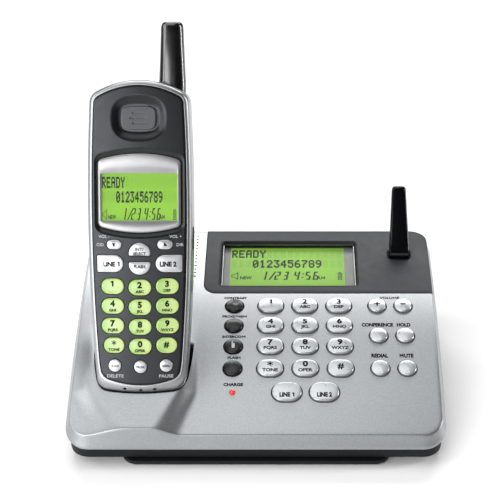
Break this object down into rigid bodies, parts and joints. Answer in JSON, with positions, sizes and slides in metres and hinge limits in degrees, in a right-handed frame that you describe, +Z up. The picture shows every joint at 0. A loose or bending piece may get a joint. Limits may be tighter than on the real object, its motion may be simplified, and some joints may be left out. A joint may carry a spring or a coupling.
{
  "type": "cordless telephone with base",
  "caption": "Desk base with keypad, display, antenna and charging cradle, holding a lift-off cordless handset with its own keys, screen and stub antenna.",
  "frame": {"origin": "middle of the base's footprint at table level, under the rubber feet", "axes": "+X to the user's right, +Y to the back, +Z up"},
  "size_m": [0.195, 0.148, 0.196],
  "materials": {
    "silver_paint": "satin metallic paint",
    "charcoal_plastic": "fine matt texture",
    "panel_plastic": "satin",
    "face_plastic": "satin",
    "handset_back_plastic": "satin metallic paint",
    "black_plastic": "gloss",
    "key_silver": "satin",
    "key_dark": "satin",
    "key_lime": "translucent satin, lit from behind",
    "key_white": "satin",
    "lcd_green": "lit display",
    "clear_lens": "clear",
    "lamp_red": "translucent",
    "rubber_black": "matt",
    "board_green": "solder mask",
    "contact_metal": "plated",
    "screw_steel": "bright",
    "speaker_metal": "matt",
    "cell_blue": "shrink sleeve"
  },
  "bodies": {
    "base": {"base_top_shell": "silver_paint", "base_lower_shell": "charcoal_plastic", "base_plinth": "charcoal_plastic", "rubber_feet": "rubber_black", "base_screws": "screw_steel", "display_panel": "panel_plastic", "base_display": "lcd_green", "base_lens": "clear_lens", "base_circuit_board": "board_green", "base_speaker": "speaker_metal", "cradle_contacts": "contact_metal", "charge_lamp": "lamp_red", "line_jacks": "black_plastic", "power_inlet": "black_plastic"},
    "handset": {"handset_front_shell": "silver_paint", "handset_face_plate": "face_plastic", "handset_back_shell": "handset_back_plastic", "handset_screen_frame": "silver_paint", "handset_display": "lcd_green", "handset_circuit_board": "board_green", "earpiece_speaker": "speaker_metal", "handset_antenna": "black_plastic", "battery_pack": "cell_blue"},
    "antenna": {"base_antenna": "black_plastic"},
    "battery_door": {"battery_cover": "handset_back_plastic"},
    "jack_flap": {"headset_jack_cover": "rubber_black"},
    "base_key_1": {"base_key_1": "key_silver"},
    "base_key_2": {"base_key_2": "key_silver"},
    "base_key_3": {"base_key_3": "key_silver"},
    "base_key_4": {"base_key_4": "key_silver"},
    "base_key_5": {"base_key_5": "key_silver"},
    "base_key_6": {"base_key_6": "key_silver"},
    "base_key_7": {"base_key_7": "key_silver"},
    "base_key_8": {"base_key_8": "key_silver"},
    "base_key_9": {"base_key_9": "key_silver"},
    "base_key_star": {"base_key_star": "key_silver"},
    "base_key_0": {"base_key_0": "key_silver"},
    "base_key_pound": {"base_key_pound": "key_silver"},
    "contrast_key": {"contrast_key": "key_dark"},
    "program_key": {"program_key": "key_dark"},
    "intercom_key": {"intercom_key": "key_dark"},
    "speaker_flash_key": {"speaker_flash_key": "key_dark"},
    "volume_up_key": {"volume_up_key": "key_silver"},
    "volume_down_key": {"volume_down_key": "key_silver"},
    "conference_key": {"conference_key": "key_silver"},
    "base_hold_key": {"base_hold_key": "key_silver"},
    "base_redial_key": {"base_redial_key": "key_silver"},
    "mute_key": {"mute_key": "key_silver"},
    "base_line_1_key": {"base_line_1_key": "key_silver"},
    "base_line_2_key": {"base_line_2_key": "key_silver"},
    "handset_digit_keys": {"handset_digit_keys": "key_lime"},
    "handset_volume_down_key": {"handset_volume_down_key": "key_white"},
    "handset_volume_up_key": {"handset_volume_up_key": "key_white"},
    "select_key": {"select_key": "key_white"},
    "flash_key": {"flash_key": "key_white"},
    "handset_line_1_key": {"handset_line_1_key": "key_white"},
    "handset_line_2_key": {"handset_line_2_key": "key_white"},
    "handset_hold_key": {"handset_hold_key": "key_white"},
    "handset_program_key": {"handset_program_key": "key_white"},
    "handset_redial_key": {"handset_redial_key": "key_white"}
  },
  "joints": [
    {"name": "handset_lift", "type": "slide", "parent": "base", "child": "handset", "axis": [0, 0.4226, 0.9063], "range_m": [0, 0.08]},
    {"name": "antenna_swing", "type": "hinge", "parent": "base", "child": "antenna", "pos_m": [0.079, 0.04975, 0.05339], "axis": [1, 0, 0], "range_deg": [-30, 32]},
    {"name": "battery_door_off", "type": "slide", "parent": "handset", "child": "battery_door", "axis": [0, 0.9063, -0.4226], "range_m": [0, 0.014]},
    {"name": "jack_flap_swing", "type": "hinge", "parent": "handset", "child": "jack_flap", "pos_m": [-0.032, -0.01452, 0.093], "axis": [0, 0.9063, -0.4226], "range_deg": [0, 80]},
    {"name": "base_key_1_press", "type": "slide", "parent": "base", "child": "base_key_1", "axis": [0, 0.2233, -0.9747], "range_m": [0, 0.001], "stiffness_N_per_m": 300, "springref_m": -0.0003},
    {"name": "base_key_2_press", "type": "slide", "parent": "base", "child": "base_key_2", "axis": [0, 0.2233, -0.9747], "range_m": [0, 0.001], "stiffness_N_per_m": 300, "springref_m": -0.0003},
    {"name": "base_key_3_press", "type": "slide", "parent": "base", "child": "base_key_3", "axis": [0, 0.2233, -0.9747], "range_m": [0, 0.001], "stiffness_N_per_m": 300, "springref_m": -0.0003},
    {"name": "base_key_4_press", "type": "slide", "parent": "base", "child": "base_key_4", "axis": [0, 0.258, -0.9661], "range_m": [0, 0.001], "stiffness_N_per_m": 300, "springref_m": -0.0003},
    {"name": "base_key_5_press", "type": "slide", "parent": "base", "child": "base_key_5", "axis": [0, 0.258, -0.9661], "range_m": [0, 0.001], "stiffness_N_per_m": 300, "springref_m": -0.0003},
    {"name": "base_key_6_press", "type": "slide", "parent": "base", "child": "base_key_6", "axis": [0, 0.258, -0.9661], "range_m": [0, 0.001], "stiffness_N_per_m": 300, "springref_m": -0.0003},
    {"name": "base_key_7_press", "type": "slide", "parent": "base", "child": "base_key_7", "axis": [0, 0.2924, -0.9563], "range_m": [0, 0.001], "stiffness_N_per_m": 300, "springref_m": -0.0003},
    {"name": "base_key_8_press", "type": "slide", "parent": "base", "child": "base_key_8", "axis": [0, 0.2924, -0.9563], "range_m": [0, 0.001], "stiffness_N_per_m": 300, "springref_m": -0.0003},
    {"name": "base_key_9_press", "type": "slide", "parent": "base", "child": "base_key_9", "axis": [0, 0.2924, -0.9563], "range_m": [0, 0.001], "stiffness_N_per_m": 300, "springref_m": -0.0003},
    {"name": "base_key_star_press", "type": "slide", "parent": "base", "child": "base_key_star", "axis": [0, 0.3265, -0.9452], "range_m": [0, 0.001], "stiffness_N_per_m": 300, "springref_m": -0.0003},
    {"name": "base_key_0_press", "type": "slide", "parent": "base", "child": "base_key_0", "axis": [0, 0.3265, -0.9452], "range_m": [0, 0.001], "stiffness_N_per_m": 300, "springref_m": -0.0003},
    {"name": "base_key_pound_press", "type": "slide", "parent": "base", "child": "base_key_pound", "axis": [0, 0.3265, -0.9452], "range_m": [0, 0.001], "stiffness_N_per_m": 300, "springref_m": -0.0003},
    {"name": "contrast_press", "type": "slide", "parent": "base", "child": "contrast_key", "axis": [0, 0.2233, -0.9747], "range_m": [0, 0.001], "stiffness_N_per_m": 300, "springref_m": -0.0003},
    {"name": "program_press", "type": "slide", "parent": "base", "child": "program_key", "axis": [0, 0.258, -0.9661], "range_m": [0, 0.001], "stiffness_N_per_m": 300, "springref_m": -0.0003},
    {"name": "intercom_press", "type": "slide", "parent": "base", "child": "intercom_key", "axis": [0, 0.2924, -0.9563], "range_m": [0, 0.001], "stiffness_N_per_m": 300, "springref_m": -0.0003},
    {"name": "speaker_flash_press", "type": "slide", "parent": "base", "child": "speaker_flash_key", "axis": [0, 0.3265, -0.9452], "range_m": [0, 0.001], "stiffness_N_per_m": 300, "springref_m": -0.0003},
    {"name": "volume_up_press", "type": "slide", "parent": "base", "child": "volume_up_key", "axis": [0, 0.2233, -0.9747], "range_m": [0, 0.001], "stiffness_N_per_m": 300, "springref_m": -0.0003},
    {"name": "volume_down_press", "type": "slide", "parent": "base", "child": "volume_down_key", "axis": [0, 0.2233, -0.9747], "range_m": [0, 0.001], "stiffness_N_per_m": 300, "springref_m": -0.0003},
    {"name": "conference_press", "type": "slide", "parent": "base", "child": "conference_key", "axis": [0, 0.2751, -0.9614], "range_m": [0, 0.001], "stiffness_N_per_m": 300, "springref_m": -0.0003},
    {"name": "base_hold_press", "type": "slide", "parent": "base", "child": "base_hold_key", "axis": [0, 0.2751, -0.9614], "range_m": [0, 0.001], "stiffness_N_per_m": 300, "springref_m": -0.0003},
    {"name": "base_redial_press", "type": "slide", "parent": "base", "child": "base_redial_key", "axis": [0, 0.3265, -0.9452], "range_m": [0, 0.001], "stiffness_N_per_m": 300, "springref_m": -0.0003},
    {"name": "mute_press", "type": "slide", "parent": "base", "child": "mute_key", "axis": [0, 0.3265, -0.9452], "range_m": [0, 0.001], "stiffness_N_per_m": 300, "springref_m": -0.0003},
    {"name": "base_line_1_press", "type": "slide", "parent": "base", "child": "base_line_1_key", "axis": [0, 0.361, -0.9326], "range_m": [0, 0.001], "stiffness_N_per_m": 300, "springref_m": -0.0003},
    {"name": "base_line_2_press", "type": "slide", "parent": "base", "child": "base_line_2_key", "axis": [0, 0.361, -0.9326], "range_m": [0, 0.001], "stiffness_N_per_m": 300, "springref_m": -0.0003},
    {"name": "handset_digit_press", "type": "slide", "parent": "handset", "child": "handset_digit_keys", "axis": [0, 0.9063, -0.4226], "range_m": [0, 0.0008], "stiffness_N_per_m": 1200, "springref_m": -0.0003},
    {"name": "handset_volume_down_press", "type": "slide", "parent": "handset", "child": "handset_volume_down_key", "axis": [0, 0.9063, -0.4226], "range_m": [0, 0.0008], "stiffness_N_per_m": 300, "springref_m": -0.0003},
    {"name": "handset_volume_up_press", "type": "slide", "parent": "handset", "child": "handset_volume_up_key", "axis": [0, 0.9063, -0.4226], "range_m": [0, 0.0008], "stiffness_N_per_m": 300, "springref_m": -0.0003},
    {"name": "select_press", "type": "slide", "parent": "handset", "child": "select_key", "axis": [0, 0.9063, -0.4226], "range_m": [0, 0.0008], "stiffness_N_per_m": 300, "springref_m": -0.0003},
    {"name": "flash_press", "type": "slide", "parent": "handset", "child": "flash_key", "axis": [0, 0.9063, -0.4226], "range_m": [0, 0.0008], "stiffness_N_per_m": 300, "springref_m": -0.0003},
    {"name": "handset_line_1_press", "type": "slide", "parent": "handset", "child": "handset_line_1_key", "axis": [0, 0.9063, -0.4226], "range_m": [0, 0.0008], "stiffness_N_per_m": 300, "springref_m": -0.0003},
    {"name": "handset_line_2_press", "type": "slide", "parent": "handset", "child": "handset_line_2_key", "axis": [0, 0.9063, -0.4226], "range_m": [0, 0.0008], "stiffness_N_per_m": 300, "springref_m": -0.0003},
    {"name": "handset_hold_press", "type": "slide", "parent": "handset", "child": "handset_hold_key", "axis": [0, 0.9063, -0.4226], "range_m": [0, 0.0008], "stiffness_N_per_m": 300, "springref_m": -0.0003},
    {"name": "handset_program_press", "type": "slide", "parent": "handset", "child": "handset_program_key", "axis": [0, 0.9063, -0.4226], "range_m": [0, 0.0008], "stiffness_N_per_m": 300, "springref_m": -0.0003},
    {"name": "handset_redial_press", "type": "slide", "parent": "handset", "child": "handset_redial_key", "axis": [0, 0.9063, -0.4226], "range_m": [0, 0.0008], "stiffness_N_per_m": 300, "springref_m": -0.0003}
  ]
}
